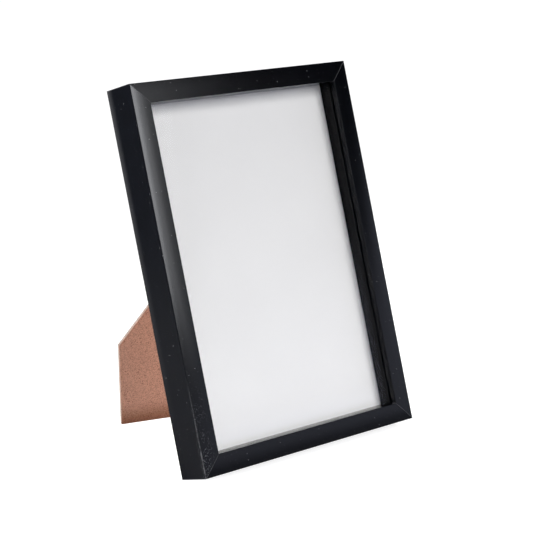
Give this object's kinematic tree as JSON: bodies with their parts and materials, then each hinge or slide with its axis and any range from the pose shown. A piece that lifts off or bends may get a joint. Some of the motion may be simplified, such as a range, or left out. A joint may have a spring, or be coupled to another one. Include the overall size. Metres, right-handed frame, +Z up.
{
  "type": "box frame",
  "caption": "Deep black box frame with mitred mouldings, glazing over a spaced white card, bendable back tabs, and a diagonal strut leg that stands it portrait or landscape.",
  "frame": {"origin": "on the surface that the frame stands on in portrait, under the middle of its bounds", "axes": "+Z up, +X to the right seen from the front, +Y back from the face toward the strut leg"},
  "size_m": [0.234, 0.162, 0.3125],
  "materials": {
    "wrap": "fibreboard moulding wrapped in matt black paper foil",
    "spacer_wrap": "matt black wrapped fibreboard",
    "glass": "clear float glass",
    "card": "matt white",
    "fibreboard": "raw medium-density fibreboard",
    "steel": "bright zinc plate",
    "dark_steel": "dull zinc plate"
  },
  "bodies": {
    "frame": {"bottom_rail": "wrap", "top_rail": "wrap", "left_stile": "wrap", "right_stile": "wrap", "corner_nail_bottom_left": "dark_steel", "corner_nail_bottom_right": "dark_steel", "corner_nail_top_left": "dark_steel", "corner_nail_top_right": "dark_steel", "glazing": "glass", "spacer_bottom": "spacer_wrap", "spacer_top": "spacer_wrap", "spacer_left": "spacer_wrap", "spacer_right": "spacer_wrap", "insert_card": "card", "tab_root_bottom_middle": "steel", "tab_root_bottom_right": "steel", "tab_root_top_left": "steel", "tab_root_top_right": "steel", "tab_root_left_middle": "steel", "tab_root_left_top": "steel", "tab_root_right_bottom": "steel", "tab_root_right_middle": "steel", "tab_root_right_top": "steel", "hanger_portrait": "steel", "hanger_landscape": "steel", "hanger_nail_portrait_1": "dark_steel", "hanger_nail_portrait_2": "dark_steel", "hanger_nail_landscape_1": "dark_steel", "hanger_nail_landscape_2": "dark_steel", "back_panel": "fibreboard", "hinge_panel_leaf": "steel", "hinge_pin": "dark_steel", "panel_leaf_rivet_1": "dark_steel", "panel_leaf_rivet_2": "dark_steel"},
    "strut": {"strut_leg": "fibreboard", "hinge_leg_leaf": "steel", "leg_leaf_rivet_1": "dark_steel", "leg_leaf_rivet_2": "dark_steel"},
    "flap_bottom_middle": {"tab_bottom_middle": "steel"},
    "flap_bottom_right": {"tab_bottom_right": "steel"},
    "flap_top_left": {"tab_top_left": "steel"},
    "flap_top_right": {"tab_top_right": "steel"},
    "flap_left_middle": {"tab_left_middle": "steel"},
    "flap_left_top": {"tab_left_top": "steel"},
    "flap_right_bottom": {"tab_right_bottom": "steel"},
    "flap_right_middle": {"tab_right_middle": "steel"},
    "flap_right_top": {"tab_right_top": "steel"}
  },
  "joints": [
    {"name": "strut_hinge", "type": "hinge", "parent": "frame", "child": "strut", "pos_m": [0.039, 0.0249, 0.22618], "axis": [-0.8829, 0.1606, 0.4412], "range_deg": [0, 29.5]},
    {"name": "tab_bend_bottom_middle", "type": "hinge", "parent": "frame", "child": "flap_bottom_middle", "pos_m": [0, -0.05419, 0.01414], "axis": [-1, 0, 0], "range_deg": [0, 80]},
    {"name": "tab_bend_bottom_right", "type": "hinge", "parent": "frame", "child": "flap_bottom_right", "pos_m": [0.067, -0.05419, 0.01414], "axis": [-1, 0, 0], "range_deg": [0, 80]},
    {"name": "tab_bend_top_left", "type": "hinge", "parent": "frame", "child": "flap_top_left", "pos_m": [-0.067, 0.04732, 0.29304], "axis": [1, 0, 0], "range_deg": [0, 80]},
    {"name": "tab_bend_top_right", "type": "hinge", "parent": "frame", "child": "flap_top_right", "pos_m": [0.067, 0.04732, 0.29304], "axis": [1, 0, 0], "range_deg": [0, 80]},
    {"name": "tab_bend_left_middle", "type": "hinge", "parent": "frame", "child": "flap_left_middle", "pos_m": [-0.1049, -0.00343, 0.15359], "axis": [0, 0.342, 0.9397], "range_deg": [0, 80]},
    {"name": "tab_bend_left_top", "type": "hinge", "parent": "frame", "child": "flap_left_top", "pos_m": [-0.1049, 0.03436, 0.25743], "axis": [0, 0.342, 0.9397], "range_deg": [0, 80]},
    {"name": "tab_bend_right_bottom", "type": "hinge", "parent": "frame", "child": "flap_right_bottom", "pos_m": [0.1049, -0.04123, 0.04976], "axis": [0, -0.342, -0.9397], "range_deg": [0, 80]},
    {"name": "tab_bend_right_middle", "type": "hinge", "parent": "frame", "child": "flap_right_middle", "pos_m": [0.1049, -0.00343, 0.15359], "axis": [0, -0.342, -0.9397], "range_deg": [0, 80]},
    {"name": "tab_bend_right_top", "type": "hinge", "parent": "frame", "child": "flap_right_top", "pos_m": [0.1049, 0.03436, 0.25743], "axis": [0, -0.342, -0.9397], "range_deg": [0, 80]}
  ]
}
